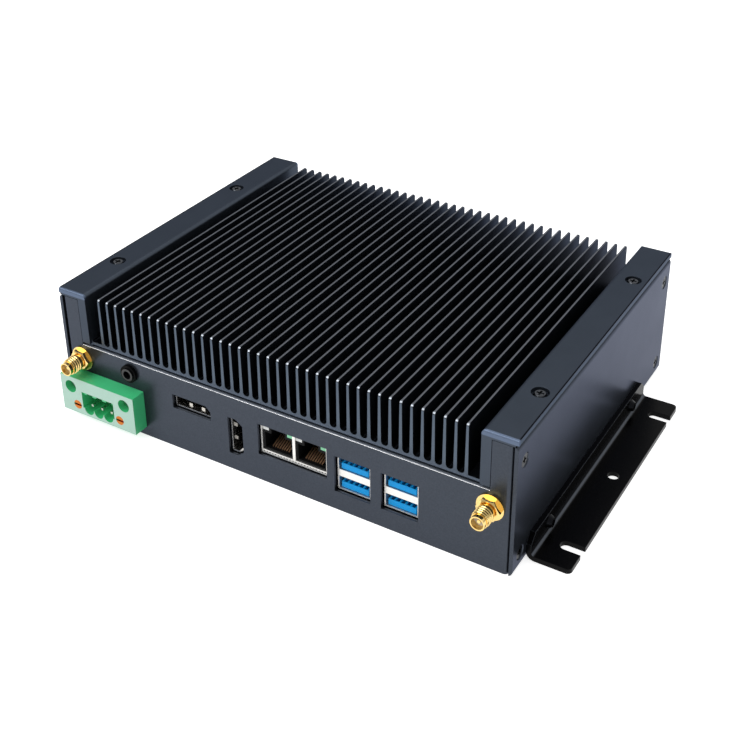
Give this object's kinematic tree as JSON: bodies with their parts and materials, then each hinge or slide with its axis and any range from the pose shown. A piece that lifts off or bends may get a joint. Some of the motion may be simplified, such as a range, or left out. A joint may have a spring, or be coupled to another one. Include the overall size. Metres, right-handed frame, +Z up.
{
  "type": "embedded computer",
  "caption": "Fanless embedded computer: finned heatsink lid over a black sheet-metal case with front ports, a plug-in power terminal, antenna connectors and side mounting brackets.",
  "frame": {"origin": "middle of the case's underside, on the plane that the case and its bracket feet stand on", "axes": "+Z up through the fins, -Y out of the front panel with the ports, +X to the right seen from the front"},
  "size_m": [0.2336, 0.1604, 0.057],
  "materials": {
    "black_anodised_aluminium": "satin black anodised",
    "black_painted_sheet": "fine matt black powder coat",
    "black_screw_steel": "black oxide",
    "zinc_steel": "bright zinc",
    "circuit_board": "green solder mask",
    "black_plastic": "moulded",
    "green_plastic": "moulded",
    "blue_plastic": "moulded",
    "nickel_shell": "nickel plated",
    "gold_plate": "gold plated",
    "brass_metal": "turned",
    "bare_aluminium": "milled",
    "thermal_gap_pad": "soft",
    "chip_package": "moulded",
    "green_light_pipe": "clear moulded",
    "clear_light_pipe": "clear moulded",
    "white_insulator": "moulded",
    "cell_steel": "plain",
    "lead_jacket": "matt"
  },
  "bodies": {
    "root": {"heatsink": "black_anodised_aluminium", "chassis": "black_painted_sheet", "front_panel": "black_painted_sheet", "rear_panel": "black_painted_sheet", "right_mounting_bracket": "black_painted_sheet", "left_mounting_bracket": "black_painted_sheet", "heatsink_screws": "black_screw_steel", "side_screws": "black_screw_steel", "bracket_screws": "black_screw_steel", "bracket_nuts": "zinc_steel", "mainboard": "circuit_board", "board_standoffs": "brass_metal", "board_screws": "zinc_steel", "processor": "chip_package", "thermal_pad": "thermal_gap_pad", "heat_spreader": "bare_aluminium", "memory_module": "circuit_board", "memory_socket": "black_plastic", "storage_module": "circuit_board", "storage_socket": "black_plastic", "storage_post": "brass_metal", "storage_screw": "zinc_steel", "radio_module": "circuit_board", "radio_socket": "black_plastic", "radio_post": "brass_metal", "radio_screw": "zinc_steel", "coin_cell_holder": "black_plastic", "coin_cell": "cell_steel", "data_port_shells": "nickel_shell", "data_port_tongues": "blue_plastic", "data_port_contacts": "gold_plate", "network_shield": "nickel_shell", "network_housings": "black_plastic", "network_contacts": "gold_plate", "network_green_lights": "green_light_pipe", "network_clear_lights": "clear_light_pipe", "wide_video_shell": "nickel_shell", "wide_video_tongue": "black_plastic", "upright_video_shell": "nickel_shell", "upright_video_tongue": "black_plastic", "round_jack": "black_plastic", "round_jack_nut": "black_plastic", "antenna_connectors": "gold_plate", "antenna_insulators": "white_insulator", "antenna_pins": "gold_plate", "antenna_nuts": "gold_plate", "antenna_washers": "gold_plate", "terminal_header": "green_plastic", "terminal_pins": "zinc_steel", "terminal_inserts": "brass_metal", "terminal_screws": "zinc_steel", "power_header": "white_insulator", "power_leads": "lead_jacket", "jack_header": "white_insulator", "jack_lead": "lead_jacket", "left_antenna_lead": "lead_jacket", "right_antenna_lead": "lead_jacket"}
  },
  "joints": []
}
